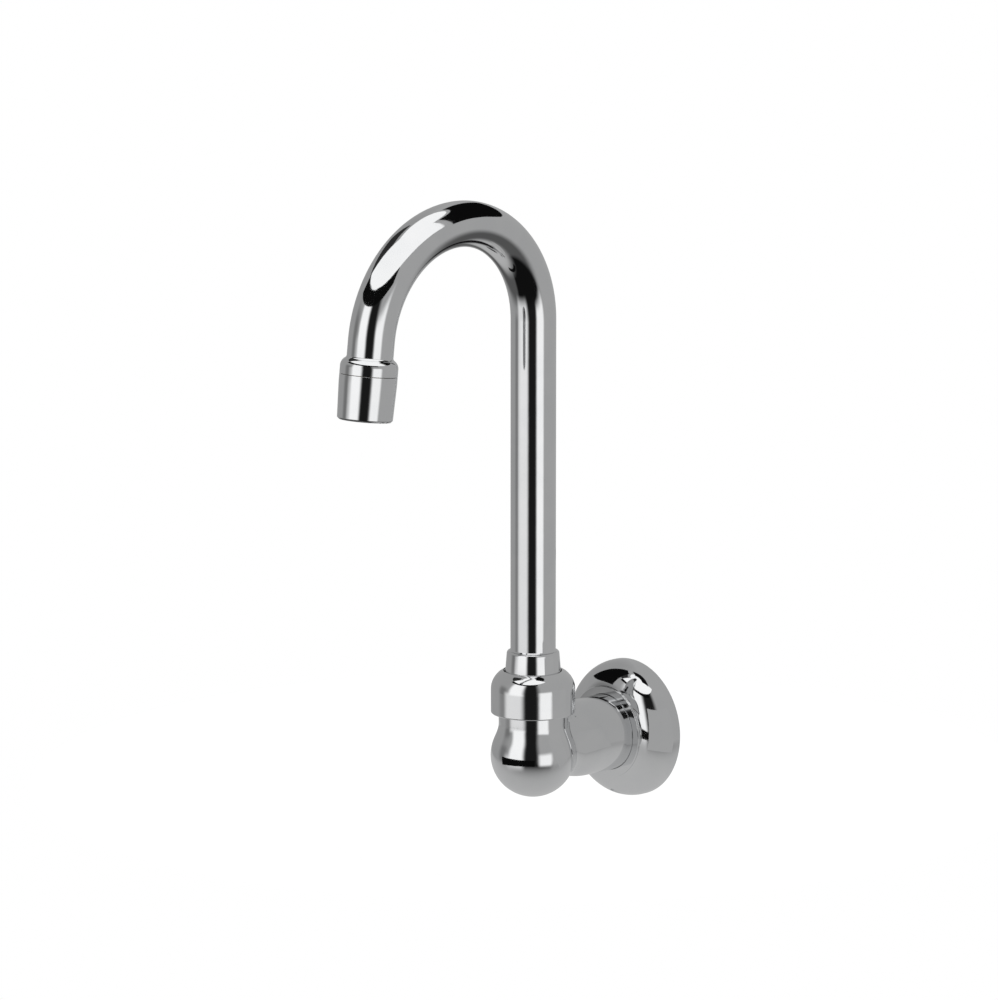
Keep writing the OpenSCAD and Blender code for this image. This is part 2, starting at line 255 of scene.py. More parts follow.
class Nodes:
    """Short calls for building a node tree."""

    def __init__(self, tree):
        self.tree = tree

    def add(self, kind, settings=None, **inputs):
        """A node with its settings. Its inputs are named, or numbered as _0, _1 and so on, and each is given
        a value or another node's output."""
        node = self.tree.nodes.new(kind)
        for name, value in (settings or {}).items():
            setattr(node, name, value)
        for name, value in inputs.items():
            key = int(name[1:]) if name[0] == "_" else name.replace("_", " ")
            self.feed(node.inputs[key], value)
        return node

    def feed(self, socket, value):
        """Sets an input, or links another node's output to it."""
        if isinstance(value, bpy.types.NodeSocket):
            self.tree.links.new(value, socket)
        else:
            socket.default_value = value

    def math(self, operation, a, b=0.0, c=0.0):
        return self.add("ShaderNodeMath", {"operation": operation}, _0=a, _1=b, _2=c).outputs[0]

    def remap(self, value, low, high, to_low, to_high, smooth_step=False):
        settings = {"interpolation_type": "SMOOTHSTEP" if smooth_step else "LINEAR"}
        ends = {"_1": low, "_2": high, "_3": to_low, "_4": to_high}
        return self.add("ShaderNodeMapRange", settings, _0=value, **ends).outputs[0]

    def blend(self, factor, a, b):
        """Mix of two colours."""
        return self.add("ShaderNodeMix", {"data_type": "RGBA"}, _0=factor, _6=a, _7=b).outputs[2]

    def noise(self, where, scale, detail=2.0, roughness=0.5, distortion=0.0):
        """Noise with features of about 1 / scale metres."""
        shape = {"Scale": scale, "Detail": detail, "Roughness": roughness, "Distortion": distortion}
        return self.add("ShaderNodeTexNoise", None, Vector=where, **shape).outputs["Fac"]

    def bump(self, height, distance, normal=None):
        """Bump as deep as the distance, in metres, over another normal where one is given."""
        inputs = {"Height": height, "Distance": distance, "Strength": 1.0}
        if normal is not None:
            inputs["Normal"] = normal
        return self.add("ShaderNodeBump", None, **inputs).outputs["Normal"]

    def position(self):
        """Coordinates on the piece itself, in metres, so that the pattern moves with it."""
        return self.add("ShaderNodeTexCoord").outputs["Object"]

    def stretched(self, where, scale):
        """The coordinates scaled by a different amount along each axis."""
        return self.add("ShaderNodeMapping", {"vector_type": "POINT"}, Vector=where, Scale=scale).outputs[0]


def grey(level, tint=(1.0, 1.0, 1.0)):
    """Colour of that brightness, with a slight tint."""
    return (level * tint[0], level * tint[1], level * tint[2], 1.0)


def new_material(name):
    """An empty Principled material and its node helper."""
    material = bpy.data.materials.new(name)
    material.use_nodes = True
    nodes = Nodes(material.node_tree)
    return material, nodes, material.node_tree.nodes["Principled BSDF"]


def plug(nodes, shader, **inputs):
    """Sets or links inputs of a shader."""
    for name, value in inputs.items():
        nodes.feed(shader.inputs[name.replace("_", " ")], value)


# ---------------------------------------------------------------- materials

def polished_chrome():
    """Mirror chrome over polished brass: faint buffing waves, wiping marks and a few dried water spots."""
    material, nodes, shader = new_material("polished_chrome")
    where = nodes.position()
    waves = nodes.noise(where, 260, detail=1.0)
    wiping = nodes.noise(nodes.stretched(where, (1.0, 1.0, 0.25)), 900, detail=5.0, roughness=0.65)
    smears = nodes.noise(where, 75, detail=3.0, distortion=0.6)
    drops = nodes.add("ShaderNodeTexVoronoi", {"feature": "F1"}, Vector=where, Scale=210.0, Randomness=1.0)
    in_drop = nodes.remap(drops.outputs["Distance"], 0.10, 0.20, 1.0, 0.0, smooth_step=True)
    lot = nodes.add("ShaderNodeSeparateColor", None, Color=drops.outputs["Color"]).outputs[0]
    spot = nodes.math("MULTIPLY", in_drop, nodes.math("GREATER_THAN", lot, 0.86))
    base_rough = nodes.remap(smears, 0.35, 0.75, 0.035, 0.075)
    with_wiping = nodes.math("MULTIPLY_ADD", nodes.remap(wiping, 0.45, 0.8, 0.0, 1.0), 0.025, base_rough)
    roughness = nodes.math("MULTIPLY_ADD", spot, 0.06, with_wiping)
    bright, dull = grey(0.79, (0.995, 1.0, 1.005)), grey(0.75, (0.99, 1.0, 1.012))
    colour = nodes.blend(nodes.remap(smears, 0.3, 0.8, 0.0, 1.0), bright, dull)
    normal = nodes.bump(waves, 0.000012, nodes.bump(wiping, 0.0000006))
    plug(nodes, shader, Base_Color=colour, Metallic=1.0, Roughness=roughness, Normal=normal)
    return material


def bare_brass():
    """Unplated brass inside the bores, drilled and tapped: fine turning marks and dull patches of tarnish."""
    material, nodes, shader = new_material("bare_brass")
    where = nodes.position()
    tarnish = nodes.noise(where, 320, detail=4.0, roughness=0.6)
    fine = nodes.noise(where, 4200, detail=2.0)
    yellow, brown = (0.66, 0.47, 0.20, 1), (0.40, 0.26, 0.11, 1)
    colour = nodes.blend(nodes.remap(tarnish, 0.35, 0.7, 0.0, 1.0), yellow, brown)
    roughness = nodes.remap(tarnish, 0.3, 0.75, 0.24, 0.46)
    normal = nodes.bump(fine, 0.00001)
    plug(nodes, shader, Base_Color=colour, Metallic=1.0, Roughness=roughness, Normal=normal)
    return material


def seal_rubber():
    """Black nitrile rubber: satin, with a film of grease in patches."""
    material, nodes, shader = new_material("seal_rubber")
    where = nodes.position()
    film = nodes.noise(where, 480, detail=3.0)
    grain = nodes.noise(where, 6500, detail=3.0)
    colour = nodes.blend(film, grey(0.018), grey(0.035, (1.0, 0.99, 0.97)))
    roughness = nodes.remap(film, 0.35, 0.7, 0.32, 0.58)
    plug(nodes, shader, Base_Color=colour, Roughness=roughness, Normal=nodes.bump(grain, 0.00001))
    return material


def gasket_foam():
    """Closed-cell foam rubber: matt, with fine open cells on its cut edge, whose pits carry painted shade."""
    material, nodes, shader = new_material("gasket_foam")
    where = nodes.position()
    cells = nodes.add("ShaderNodeTexVoronoi", {"feature": "F1"}, Vector=where, Scale=2300.0)
    depth = nodes.remap(cells.outputs["Distance"], 0.0, 0.7, 0.0, 1.0)
    clouds = nodes.noise(where, 300, detail=3.0)
    # Painted shade: each cell's colour darkens towards its pit, where the bump dents it deepest.
    painted_pore_shade = nodes.blend(depth, grey(0.045), grey(0.115, (1.0, 1.0, 1.03)))
    colour = nodes.blend(nodes.math("MULTIPLY", clouds, 0.4), painted_pore_shade, grey(0.085, (1.0, 0.99, 0.97)))
    plug(nodes, shader, Base_Color=colour, Roughness=0.88, Normal=nodes.bump(depth, 0.00012))
    return material


def turned_steel(name, level, low_rough, high_rough):
    """Plain stainless steel with fine drawn or pressed marks."""
    material, nodes, shader = new_material(name)
    where = nodes.position()
    marks = nodes.noise(nodes.stretched(where, (1.0, 0.2, 1.0)), 5200, detail=4.0, roughness=0.7)
    clouds = nodes.noise(where, 500, detail=2.0)
    colour = nodes.blend(clouds, grey(level), grey(level * 0.86, (1.0, 0.99, 0.975)))
    roughness = nodes.remap(marks, 0.3, 0.75, low_rough, high_rough)
    normal = nodes.bump(marks, 0.000006)
    plug(nodes, shader, Base_Color=colour, Metallic=1.0, Roughness=roughness, Normal=normal)
    return material


def spring_bronze():
    """Drawn phosphor bronze strip: reddish gold, with darker heat-tinted patches and drawing lines."""
    material, nodes, shader = new_material("spring_bronze")
    where = nodes.position()
    tint = nodes.noise(where, 350, detail=3.0)
    lines = nodes.noise(nodes.stretched(where, (0.3, 0.3, 3.0)), 3000, detail=3.0)
    gold, red = (0.72, 0.50, 0.26, 1), (0.50, 0.29, 0.14, 1)
    colour = nodes.blend(nodes.remap(tint, 0.35, 0.7, 0.0, 1.0), gold, red)
    roughness = nodes.remap(lines, 0.3, 0.7, 0.22, 0.38)
    normal = nodes.bump(lines, 0.000008)
    plug(nodes, shader, Base_Color=colour, Metallic=1.0, Roughness=roughness, Normal=normal)
    return material


def moulded_plastic(name, light, dark, low_rough, high_rough):
    """Moulded plastic: slight flow clouds in its colour and a fine spark-eroded grain."""
    material, nodes, shader = new_material(name)
    where = nodes.position()
    flow = nodes.noise(nodes.stretched(where, (1.0, 1.0, 0.4)), 280, detail=3.0, distortion=0.8)
    grain = nodes.noise(where, 5200, detail=2.0)
    colour = nodes.blend(nodes.remap(flow, 0.3, 0.75, 0.0, 1.0), light, dark)
    roughness = nodes.remap(flow, 0.3, 0.7, low_rough, high_rough)
    plug(nodes, shader, Base_Color=colour, Roughness=roughness, Normal=nodes.bump(grain, 0.000012))
    plug(nodes, shader, Subsurface_Weight=0.08, Subsurface_Scale=0.0006)
    return material


CHROME = polished_chrome()
BRASS = bare_brass()
CHROME_SLOT = 0


def plate(obj, is_bare):
    """Chrome in the first slot, and bare brass in the second. is_bare takes an array of face centres in the
    object's frame and says which faces are brass."""
    mesh = obj.data
    mesh.materials.clear()
    mesh.materials.append(CHROME)
    mesh.materials.append(BRASS)
    centres = np.empty(len(mesh.polygons) * 3)
    mesh.polygons.foreach_get("center", centres)
    mesh.polygons.foreach_set("material_index", is_bare(centres.reshape(-1, 3)).astype(np.int32))


def along(place, points):
    """Radius and station, in millimetres, of points given in metres in the object's frame."""
    local = (np.asarray(points) - np.array(place.translation)) @ np.array(place.to_3x3())
    return np.hypot(local[:, 0], local[:, 1]) / MM, local[:, 2] / MM


def finish_piece(obj, node, body):
    """The piece stands for the CAD node of the same name and rides on its body."""
    smooth(obj)
    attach(obj, body)
    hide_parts(node)


# ---------------------------------------------------------------- wall flange

def make_flange():
    """Domed shell with a rolled rim, a raised ring round the arm, a seal groove and the grub screw's hole."""
    rim_t, dome_r, bore_r, hub_r, hub_front = 1.9, 13.3, 16.3, 19.8, 15.6
    wall, boss_r, boss_back = 2.2, 21.2, 3.05
    rim_edge_r, hub_edge_r, bore_edge_r = 0.35, 0.45, 0.3
    centre = (RIM_R - dome_r, rim_t)
    inner_r = dome_r - wall
    hub_angle = math.degrees(math.acos((hub_r - centre[0]) / dome_r))
    boss_angle = math.degrees(math.acos((boss_r - centre[0]) / inner_r))
    groove_low, groove_high, groove_r = 11.5, 13.7, bore_r + 1.82
    outline = section(
        (RIM_R - wall, 0), (RIM_R, 0, rim_edge_r),
        *arc(centre, dome_r, 0, hub_angle, 30),
        (hub_r, hub_front, hub_edge_r), (bore_r, hub_front, bore_edge_r),
        (bore_r, groove_high), (groove_r, groove_high), (groove_r, groove_low), (bore_r, groove_low),
        (bore_r, boss_back, bore_edge_r), (boss_r, boss_back, bore_edge_r),
        *arc(centre, inner_r, boss_angle, 0, 16),
    )
    obj = lathe("flange_shell", WALL, outline)
    hole_r, screw_station, hole_start, hole_end = 2.42, 8.6, bore_r - 1.0, 32.0
    down = axes_at((0, -screw_station * MM, 0), (0, 0, -1))
    hole = section((0, hole_start), (hole_r, hole_start), (hole_r, hole_end), (0, hole_end))
    cut_with(obj, lathe("hole_cutter", down, hole, segments=48))
    face_margin, dome_margin = 0.6, 0.3

    def inside(points):
        radius, station = along(WALL, points)
        behind_dome = np.hypot(radius - centre[0], station - centre[1]) < inner_r + dome_margin
        return behind_dome & (station < hub_front - face_margin) & (radius < RIM_R - face_margin)

    plate(obj, inside)
    finish_piece(obj, "wall_flange", "flange")


# ---------------------------------------------------------------- elbow body

# Arm, which narrows in a long curve to its end inside the ball
ARM_R, ARM_STRAIGHT, ARM_END, ARM_NOSE_R = 16.25, 32.0, 52.0, 30.0
# Ball, waist, and the fillets that blend the arm, the ball and the waist
BALL_DROP, WAIST_R, WAIST_TOP = 2.9, 14.5, 15.0
CAST_FILLET, WAIST_FILLET = 4.5, 2.0
# Threaded spigot, and the socket, well, waterway and inlet cut into the casting
SPIGOT_R, SPIGOT_TOP, SPIGOT_PITCH, SPIGOT_THREAD_DEPTH = 14.15, 25.0, 1.27, 0.55
SOCKET_R, SOCKET_FLOOR = 10.6, 6.0
WELL_R, WELL_FLOOR, WATERWAY_R = 7.2, -7.0, 6.5
INLET_R, INLET_DEPTH, INLET_PITCH, INLET_THREAD_DEPTH = 9.2, 16.0, 25.4 / 14, 0.9
# How far the casting's ends run on past the cuts that trim them
CAST_OVERRUN = 4.0


def smooth_min(a, b, reach):
    """Joins two distances with a fillet of about that reach."""
    share = np.clip(0.5 + 0.5 * (b - a) / reach, 0, 1)
    return b + (a - b) * share - reach * share * (1 - share)


def casting_distance(points):
    """Signed distance, in millimetres, to the outside of the cast elbow, with its fillets."""
    x, y, z = points.T
    out = -y
    radius = np.hypot(x, z)
    nose = np.hypot(radius - (ARM_R - ARM_NOSE_R), np.maximum(out - ARM_STRAIGHT, 0)) - ARM_NOSE_R
    arm = np.maximum(nose, out - ARM_END)
    from_riser = out + riser_y / MM
    ball = np.sqrt(x ** 2 + from_riser ** 2 + (z + BALL_DROP) ** 2) - BALL_R
    waist = np.hypot(x, from_riser) - WAIST_R
    waist = np.maximum(waist, -z)
    body = smooth_min(ball, waist, WAIST_FILLET)
    return smooth_min(arm, body, CAST_FILLET)


def casting_normal(points, step=1e-3):
    """Gradient of the casting's distance, as it is and as a unit vector."""
    offsets = np.eye(3) * step
    rises = [casting_distance(points + o) - casting_distance(points - o) for o in offsets]
    gradient = np.stack(rises, 1) / (2 * step)
    length = np.linalg.norm(gradient, axis=1, keepdims=True)
    return gradient, gradient / np.maximum(length, 1e-9)


def rough_casting():
    """Ball, waist and arm as plain solids that run into each other."""
    sides, ball_rows, arm_lap, arm_taper = 96, 64, 12.0, 2.0
    bm = bmesh.new()
    ball_place = Matrix.Translation(RISER.translation + Vector((0, 0, -BALL_DROP * MM)))
    ball = {"u_segments": sides, "v_segments": ball_rows, "radius": BALL_R * MM}
    bmesh.ops.create_uvsphere(bm, matrix=ball_place, **ball)
    waist_length = WAIST_TOP + CAST_OVERRUN
    waist_place = Matrix.Translation(RISER.translation + Vector((0, 0, waist_length / 2 * MM)))
    waist = {"radius1": WAIST_R * MM, "radius2": WAIST_R * MM, "depth": waist_length * MM}
    bmesh.ops.create_cone(bm, cap_ends=True, segments=sides, matrix=waist_place, **waist)
    arm_length = ARM_STRAIGHT + arm_lap + CAST_OVERRUN
    arm_middle = Matrix.Translation((0, (CAST_OVERRUN - arm_length / 2) * MM, 0))
    arm_place = arm_middle @ Matrix.Rotation(math.pi / 2, 4, "X")
    arm = {"radius1": (ARM_R - arm_taper) * MM, "radius2": ARM_R * MM, "depth": arm_length * MM}
    bmesh.ops.create_cone(bm, cap_ends=True, segments=sides, matrix=arm_place, **arm)
    mesh = bpy.data.meshes.new("casting")
    bm.to_mesh(mesh)
    bm.free()
    obj = bpy.data.objects.new("elbow_casting", mesh)
    bpy.context.scene.collection.objects.link(obj)
    return obj


def make_casting():
    """The cast outside of the elbow: the rough solids fused, then drawn step by step onto the surface where
    the casting's distance is nil. The flat ends, which are cut off later, stay where they are."""
    voxel, pulls, least_slope, end_zone = 0.0006, 8, 0.05, 0.8
    obj = rough_casting()
    remesh = obj.modifiers.new("remesh", "REMESH")
    remesh.mode = "VOXEL"
    remesh.voxel_size = voxel
    apply_modifiers(obj)
    points = mesh_points(obj.data) / MM
    free = (points[:, 2] < WAIST_TOP + CAST_OVERRUN - end_zone) & (points[:, 1] < CAST_OVERRUN - end_zone)
    for _ in range(pulls):
        distance = casting_distance(points[free])
        gradient, _ = casting_normal(points[free])
        points[free] -= gradient * (distance / np.maximum((gradient ** 2).sum(1), least_slope))[:, None]
    obj.data.vertices.foreach_set("co", (points * MM).ravel())
    obj.data.update()
    return obj


def mesh_points(mesh):
    """The mesh's points, one to a row."""
    points = np.empty(len(mesh.vertices) * 3)
    mesh.vertices.foreach_get("co", points)
    return points.reshape(-1, 3)


def make_elbow():
    """Casting, threaded spigot, tapped inlet, drilled waterway, well and bored socket in one solid."""
    obj = make_casting()
    beyond, overrun = 60.0, 1.0
    top = section((0, WAIST_TOP), (NUT_R, WAIST_TOP), (NUT_R, beyond), (0, beyond), spacing=WHOLE)
    cut_with(obj, lathe("top_cutter", RISER, top))
    cutter_r = 40.0
    wall = section((0, -cutter_r), (cutter_r, -cutter_r), (cutter_r, 0), (0, 0), spacing=WHOLE)
    cut_with(obj, lathe("wall_cutter", WALL, wall))
    add_spigot(obj)
    thread_start, thread_end, fade = 0.8, INLET_DEPTH - 1.0, 1.2
    inlet_thread = Thread(INLET_R, thread_start, thread_end, INLET_PITCH, INLET_THREAD_DEPTH, fade)
    mouth_r, drill_point, riser_station = INLET_R + 0.7, 1.2, -riser_y / MM
    bore = section((0, -overrun), (mouth_r, -overrun), (mouth_r, 0), (INLET_R, thread_start),
                   (INLET_R, thread_end), (INLET_R, INLET_DEPTH),
                   (WATERWAY_R, INLET_DEPTH + drill_point),
                   (WATERWAY_R, riser_station), (0, riser_station), spacing=WHOLE)
    cut_with(obj, lathe("bore_cutter", WALL, bore, [inlet_thread]))
    well_point, bevel = 1.6, 0.4
    socket = section((0, WELL_FLOOR - well_point), (WELL_R, WELL_FLOOR), (WELL_R, SOCKET_FLOOR),
                     (SOCKET_R, SOCKET_FLOOR), (SOCKET_R, SPIGOT_TOP - bevel), (SOCKET_R + bevel, SPIGOT_TOP),
                     (SOCKET_R + bevel, SPIGOT_TOP + overrun), (0, SPIGOT_TOP + overrun), spacing=WHOLE)
    cut_with(obj, lathe("socket_cutter", RISER, socket))
    skin_depth, waist_margin = 0.05, 0.2

    def machined(points):
        radius, station = along(RISER, points)
        under_nut = (radius > SPIGOT_R) & (station > WAIST_TOP - waist_margin)
        return (np.abs(casting_distance(points / MM)) > skin_depth) & ~under_nut

    plate(obj, machined)
    finish_piece(obj, "elbow_body", "elbow")
    obj.modifiers.clear()
    set_casting_normals(obj)


def add_spigot(obj):
    """Threaded spigot, with a neck under the thread, joined to the top of the waist."""
    core_r, neck_r, nose_r = 8.0, SPIGOT_R - 0.9, SPIGOT_R - 0.7
    sunk, neck_top = WAIST_TOP - 3.0, WAIST_TOP + 0.2
    thread_start, thread_end = WAIST_TOP + 0.6, SPIGOT_TOP - 0.8
    thread = Thread(SPIGOT_R, thread_start, thread_end, SPIGOT_PITCH, SPIGOT_THREAD_DEPTH)
    outline = section((core_r, sunk), (neck_r, sunk), (neck_r, neck_top), (SPIGOT_R, thread_start),
                      (SPIGOT_R, thread_end), (nose_r, SPIGOT_TOP), (core_r, SPIGOT_TOP), spacing=WHOLE)
    cut_with(obj, lathe("spigot", RISER, outline, [thread]), "UNION")


def set_casting_normals(obj):
    """Exact normals on the cast skin, so that it reflects as one smooth surface."""
    mesh = obj.data
    mesh.update()
    loops = np.empty(len(mesh.loops) * 3)
    mesh.corner_normals.foreach_get("vector", loops)
    loops = loops.reshape(-1, 3)
    owners = np.empty(len(mesh.loops), np.int32)
    mesh.loops.foreach_get("vertex_index", owners)
    materials = np.empty(len(mesh.polygons), np.int32)
    mesh.polygons.foreach_get("material_index", materials)
    totals = np.empty(len(mesh.polygons), np.int32)
    mesh.polygons.foreach_get("loop_total", totals)
    cast = np.repeat(materials == CHROME_SLOT, totals)
    _, normals = casting_normal(mesh_points(mesh)[owners[cast]] / MM)
    loops[cast] = normals
    mesh.normals_split_custom_set([tuple(n) for n in loops])


# ---------------------------------------------------------------- coupling nut and ferrule

# Station of the tube's foot, up the riser
TUBE_FOOT = 28.1


def make_nut():
    """Round-shouldered nut: a spun dome over a straight skirt, tapped inside."""
    base, height, shoulder_h, shoulder_r = 15.4, 18.1, 8.0, 9.0
    top = base + height
    centre = (NUT_R - shoulder_r, top - shoulder_h)
    flat_angle = math.degrees(math.asin(shoulder_h / shoulder_r))
    flat_r = centre[0] + shoulder_r * math.cos(math.radians(flat_angle))
    hole_r, thread_r, roof, countersink = 12.0, 14.2, 27.75, 0.9
    thread_start = base + 1.0
    skirt_edge_r, top_edge_r, edge_angle = 0.55, 0.35, 4
    thread = Thread(thread_r, thread_start, SPIGOT_TOP, SPIGOT_PITCH, SPIGOT_THREAD_DEPTH)
    outline = section(
        (thread_r + countersink, base), (NUT_R, base, skirt_edge_r),
        *arc(centre, shoulder_r, 0, flat_angle - edge_angle, 24),
        (flat_r, top, top_edge_r), (hole_r, top, top_edge_r),
        (hole_r, roof), (thread_r, roof),
        (thread_r, SPIGOT_TOP), (thread_r, thread_start), spacing=WHOLE,
    )
    obj = lathe("nut_shell", RISER, outline, [thread])
    inside_r, inside_top = thread_r + 0.5, roof + 0.2

    def inside(points):
        radius, station = along(RISER, points)
        return (radius < inside_r) & (station < inside_top)

    plate(obj, inside)
    finish_piece(obj, "coupling_nut", "elbow")


def make_ferrule():
    """Collar above the nut, with a brazing fillet round the tube, and a grooved foot in the socket."""
    foot, foot_r, ring_groove_r, bore_r = 7.0, 10.55, 10.1, 6.8
    ring_low, ring_high, nut_top, top = 25.53, 27.17, 33.5, 42.1
    collar_taper, collar_edge_r, foot_edge_r, ring_edge_r = 0.94, 1.1, 0.6, 0.2
    braze = [(TUBE_R + 0.75, top), (TUBE_R + 0.3, top + 0.12), (TUBE_R, top + 0.5)]
    groove_r, groove_half, groove_stations = foot_r - 2.02, 1.3, (11.5, 18.5)
    grooves = []
    for centre in groove_stations:
        grooves += [(foot_r, centre - groove_half), (groove_r, centre - groove_half),
                    (groove_r, centre + groove_half), (foot_r, centre + groove_half)]
    outline = section(
        (bore_r, foot), (foot_r, foot, foot_edge_r), *grooves,
        (foot_r, ring_low), (ring_groove_r, ring_low), (ring_groove_r, ring_high),
        (COLLAR_R, ring_high, ring_edge_r), (COLLAR_R, nut_top),
        (COLLAR_R * collar_taper, top, collar_edge_r), *braze,
        (TUBE_R, TUBE_FOOT), (bore_r, TUBE_FOOT),
    )
    obj = lathe("ferrule_collar", RISER, outline)
    inside_r, collar_foot = bore_r + 0.2, ring_high - 0.02

    def inside(points):
        radius, station = along(RISER, points)
        return (station < collar_foot) | (radius < inside_r)

    plate(obj, inside)
    finish_piece(obj, "swivel_ferrule", "spout")


# ---------------------------------------------------------------- gooseneck tube

# The tube's wall, where its riser ends, how far it reaches into the outlet fitting, and its straight tail
TUBE_WALL, RISER_TOP, TUBE_END, OUTLET_STRAIGHT = 1.1, 183.0, 7.0, 6.0
# Rings of points along the riser, along each bend and along the tail
RISER_RINGS, BEND_RINGS, TAIL_RINGS = 48, 72, 8


def bend(centre, radius, start, sweep):
    """Centre line of a bend after its first point. Angles in radians, from the wall's side upwards."""
    line = []
    for i in range(1, BEND_RINGS + 1):
        angle = start + i / BEND_RINGS * sweep
        outwards = Vector((0, math.cos(angle), math.sin(angle)))
        ahead = Vector((0, -math.sin(angle), math.cos(angle)))
        line.append((centre + radius * outwards, ahead))
    return line


def gooseneck_line():
    """Centre line of the tube as (point, direction) pairs in millimetres, in the plane X = 0."""
    flow = Vector(unscrew["axis"])
    lean = math.atan2(-flow.y, -flow.z)
    fall = math.pi / 2 - lean
    outlet = Vector(unscrew["pos_m"]) / MM
    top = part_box("gooseneck_tube")[1].z / MM - TUBE_R
    rise_r = top - RISER_TOP
    crown_y = riser_y / MM - rise_r
    fall_r = (crown_y - outlet.y - OUTLET_STRAIGHT * math.sin(lean)) / math.sin(fall)
    riser = np.linspace(TUBE_FOOT, RISER_TOP, RISER_RINGS)
    line = [(Vector((0, riser_y / MM, z)), Vector((0, 0, 1))) for z in riser]
    line += bend(Vector((0, crown_y, RISER_TOP)), rise_r, 0, math.pi / 2)
    line += bend(Vector((0, crown_y, top - fall_r)), fall_r, math.pi / 2, fall)
    past_bend = 1.0
    for station in np.linspace(past_bend - OUTLET_STRAIGHT, TUBE_END, TAIL_RINGS):
        line.append((outlet + flow * float(station), flow))
    return line


def make_tube():
    """Bent tube with a true wall: the outer skin out to the outlet end, and the bore back."""
    line = gooseneck_line()
    angles = np.arange(SEGMENTS) * 2 * math.pi / SEGMENTS
    across = np.array((1.0, 0.0, 0.0))

    def ring(point, direction, radius):
        side = np.cross(np.array(direction), across)
        return np.array(point) + radius * (np.outer(np.cos(angles), across) + np.outer(np.sin(angles), side))

    outer = [ring(p, d, TUBE_R) for p, d in line]
    inner = [ring(p, d, TUBE_R - TUBE_WALL) for p, d in reversed(line)]
    obj = skin("gooseneck_pipe", np.array(outer + inner) * MM)
    outer_rows = len(line) - 1
    is_inner = np.repeat(np.arange(len(line) * 2) >= outer_rows, SEGMENTS)
    plate(obj, lambda points: is_inner)
    finish_piece(obj, "gooseneck_tube", "spout")


# ---------------------------------------------------------------- outlet

# Radius, start, end, pitch and depth of the thread that holds the aerator
FITTING_THREAD = (10.75, 8.1, 14.0, 25.4 / 27, 0.5)


def make_adapter():
    """Outlet fitting: round shoulder brazed on the tube, straight collar and the aerator's male thread."""
    bore_r, thread_end = 8.0, 14.5
    shoulder_r, shoulder_centre, collar_end = 4.0, 4.4, 7.5
    centre = (AERATOR_R - shoulder_r, shoulder_centre)
    radius, start, end, pitch, depth = FITTING_THREAD
    thread = Thread(radius, start, end, pitch, depth, fade=0.6)
    neck_r, neck_end, nose_r = radius - 0.6, start - 0.3, radius - 0.5
    braze, braze_r = [(TUBE_R, 0.25), (TUBE_R + 0.12, 0.55)], TUBE_R + 0.45
    top_angle = math.degrees(math.acos((braze_r - centre[0]) / shoulder_r))
    outline = section(
        *braze, *arc(centre, shoulder_r, -top_angle, 0, 20),
        (AERATOR_R, collar_end, 0.12), (neck_r, collar_end), (neck_r, neck_end),
        (radius, start), (radius, end), (nose_r, thread_end), (bore_r, thread_end, 0.2),
        (bore_r, TUBE_END), (TUBE_R, TUBE_END), spacing=WHOLE,
    )
    obj = lathe("outlet_fitting", OUTLET, outline, [thread])
    inside_r, plated_end = TUBE_R - 0.2, collar_end + 0.05

    def inside(points):
        distance, station = along(OUTLET, points)
        return (station > plated_end) | (distance < inside_r)

    plate(obj, inside)
    finish_piece(obj, "outlet_adapter", "spout")


def make_aerator_shell():
    """Barrel-shaped shell: tapped at the top, with a lip at the mouth that holds the insert."""
    start, straight_end, length, mouth_edge_r, chamfer = 7.65, 11.0, 26.2, 11.4, 0.8
    chamber_r, chamber_end, mouth_r, relief_end = 10.3, 24.8, 9.3, 14.5
    radius, _, thread_end, pitch, depth = FITTING_THREAD
    thread_start, clearance, bevel = 9.0, 0.05, 0.3
    bore_r = radius + clearance
    thread = Thread(bore_r, thread_start, thread_end, pitch, depth - clearance, fade=0.5)
    outline = section(
        (AERATOR_R, start, 0.12), (AERATOR_R, straight_end), (mouth_edge_r, length - chamfer, 0.5),
        (mouth_edge_r - chamfer, length, 0.4), (mouth_r, length, 0.2),
        (mouth_r, chamber_end), (chamber_r, chamber_end), (chamber_r, relief_end),
        (bore_r, relief_end), (bore_r, thread_end), (bore_r, thread_start), (bore_r, start + bevel),
        (bore_r + bevel, start), spacing=WHOLE,
    )
    obj = lathe("aerator_barrel", OUTLET, outline, [thread])
    inside_r, inside_end = bore_r + 0.15, chamber_end + 0.2

    def inside(points):
        distance, station = along(OUTLET, points)
        return (distance < inside_r) & (station < inside_end)

    plate(obj, inside)
    finish_piece(obj, "aerator_housing", "aerator_shell")


# ---------------------------------------------------------------- CAD pieces that keep their shape

def dress_cad_nodes():
    """Gives each carried-over CAD node the material that the record names for it."""
    steel = turned_steel("screw_steel", 0.56, 0.22, 0.42)
    screen = turned_steel("screen_steel", 0.64, 0.18, 0.34)
    rubber = seal_rubber()
    acetal = moulded_plastic("washer_plastic", (0.86, 0.83, 0.74, 1), (0.80, 0.76, 0.66, 1), 0.32, 0.46)
    insert = moulded_plastic("insert_plastic", (0.84, 0.85, 0.85, 1), (0.77, 0.78, 0.79, 1), 0.30, 0.44)
    regulator = moulded_plastic("regulator_plastic", (0.12, 0.42, 0.25, 1), (0.08, 0.33, 0.19, 1), 0.18, 0.32)
    looks = {
        "flange_gasket": gasket_foam(),
        "flange_seal_ring": rubber, "ferrule_o_ring_upper": rubber, "ferrule_o_ring_lower": rubber,
        "aerator_washer": rubber, "regulator_o_ring": rubber,
        "flange_set_screw": steel, "inlet_screen": screen, "outlet_screen": screen,
        "retaining_ring": spring_bronze(),
        "lower_thrust_washer": acetal, "upper_thrust_washer": acetal,
        "aerator_insert": insert, "flow_regulator": regulator,
    }
    for node, material in looks.items():
        mesh = frame["nodes"][node].data
        mesh.materials.clear()
        mesh.materials.append(material)


# ---------------------------------------------------------------- studio

